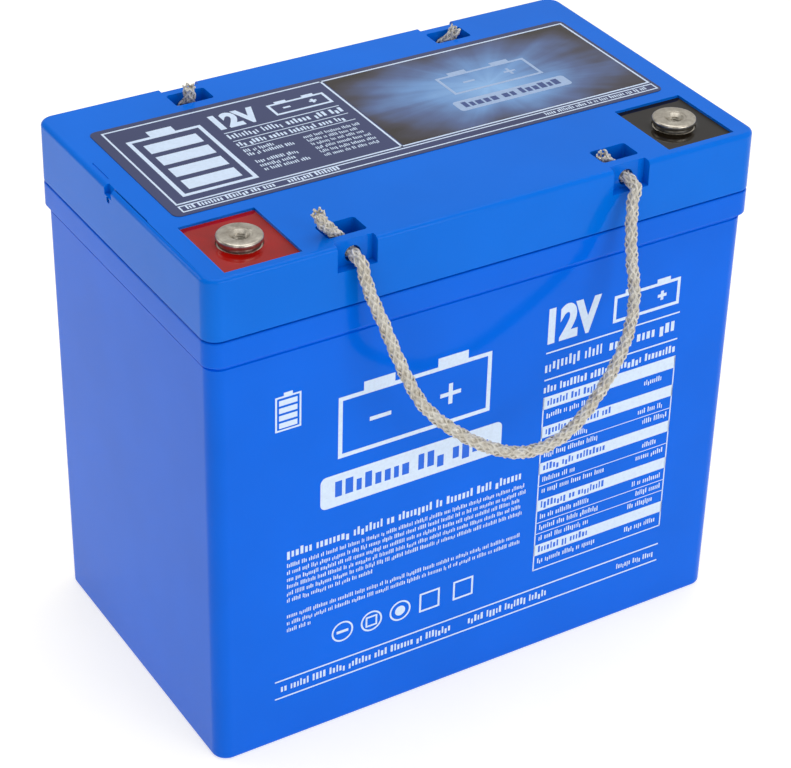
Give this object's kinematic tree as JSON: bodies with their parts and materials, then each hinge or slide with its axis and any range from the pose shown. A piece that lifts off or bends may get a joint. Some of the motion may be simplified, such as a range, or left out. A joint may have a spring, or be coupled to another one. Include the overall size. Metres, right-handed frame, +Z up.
{
  "type": "deep cycle battery",
  "caption": "Sealed deep cycle battery in a moulded blue case, with threaded terminals in resin-filled wells, a printed top label and a swinging rope handle on each long side.",
  "frame": {"origin": "centre of the case's footprint, on the surface the battery stands on", "axes": "+X along the length towards the negative terminal, +Z up; the long face with both terminals beside it looks along -Y"},
  "size_m": [0.229, 0.2046, 0.2204],
  "materials": {
    "case_plastic": "moulded ABS, deep blue, gloss",
    "lid_plastic": "moulded ABS, deep blue, fine satin on the top face",
    "label_film": "printed polyester film, slate blue",
    "tinned_terminal": "tin-plated, turned",
    "red_resin": "cast red epoxy, mirror gloss",
    "black_resin": "cast black epoxy, mirror gloss",
    "lead": "cast lead, dull grey",
    "positive_paste": "lead dioxide paste on a lead grid, brown",
    "glass_mat": "white absorbent glass mat",
    "rubber": "moulded rubber, black",
    "rope": "braided polypropylene, pearl and straw"
  },
  "bodies": {
    "root": {"case": "case_plastic", "lid": "lid_plastic", "vent_cover": "lid_plastic", "top_label": "label_film", "positive_terminal": "tinned_terminal", "negative_terminal": "tinned_terminal", "positive_seal": "red_resin", "negative_seal": "black_resin", "positive_post": "lead", "negative_post": "lead", "positive_o_ring": "rubber", "negative_o_ring": "rubber", "valve_cap_1": "rubber", "valve_cap_2": "rubber", "valve_cap_3": "rubber", "valve_cap_4": "rubber", "valve_cap_5": "rubber", "valve_cap_6": "rubber", "cell_1_positive_plates": "positive_paste", "cell_2_positive_plates": "positive_paste", "cell_3_positive_plates": "positive_paste", "cell_4_positive_plates": "positive_paste", "cell_5_positive_plates": "positive_paste", "cell_6_positive_plates": "positive_paste", "cell_1_negative_plates": "lead", "cell_2_negative_plates": "lead", "cell_3_negative_plates": "lead", "cell_4_negative_plates": "lead", "cell_5_negative_plates": "lead", "cell_6_negative_plates": "lead", "cell_1_separators": "glass_mat", "cell_2_separators": "glass_mat", "cell_3_separators": "glass_mat", "cell_4_separators": "glass_mat", "cell_5_separators": "glass_mat", "cell_6_separators": "glass_mat", "intercell_welds": "lead", "front_rope_ends": "rope", "back_rope_ends": "rope"},
    "front_handle": {"front_rope_handle": "rope"},
    "back_handle": {"back_rope_handle": "rope"}
  },
  "joints": [
    {"name": "front_handle_swing", "type": "hinge", "parent": "root", "child": "front_handle", "pos_m": [0, -0.0715, 0.2015], "axis": [-1, 0, 0], "range_deg": [-14, 165]},
    {"name": "back_handle_swing", "type": "hinge", "parent": "root", "child": "back_handle", "pos_m": [0, 0.0715, 0.2015], "axis": [1, 0, 0], "range_deg": [-14, 165]}
  ]
}
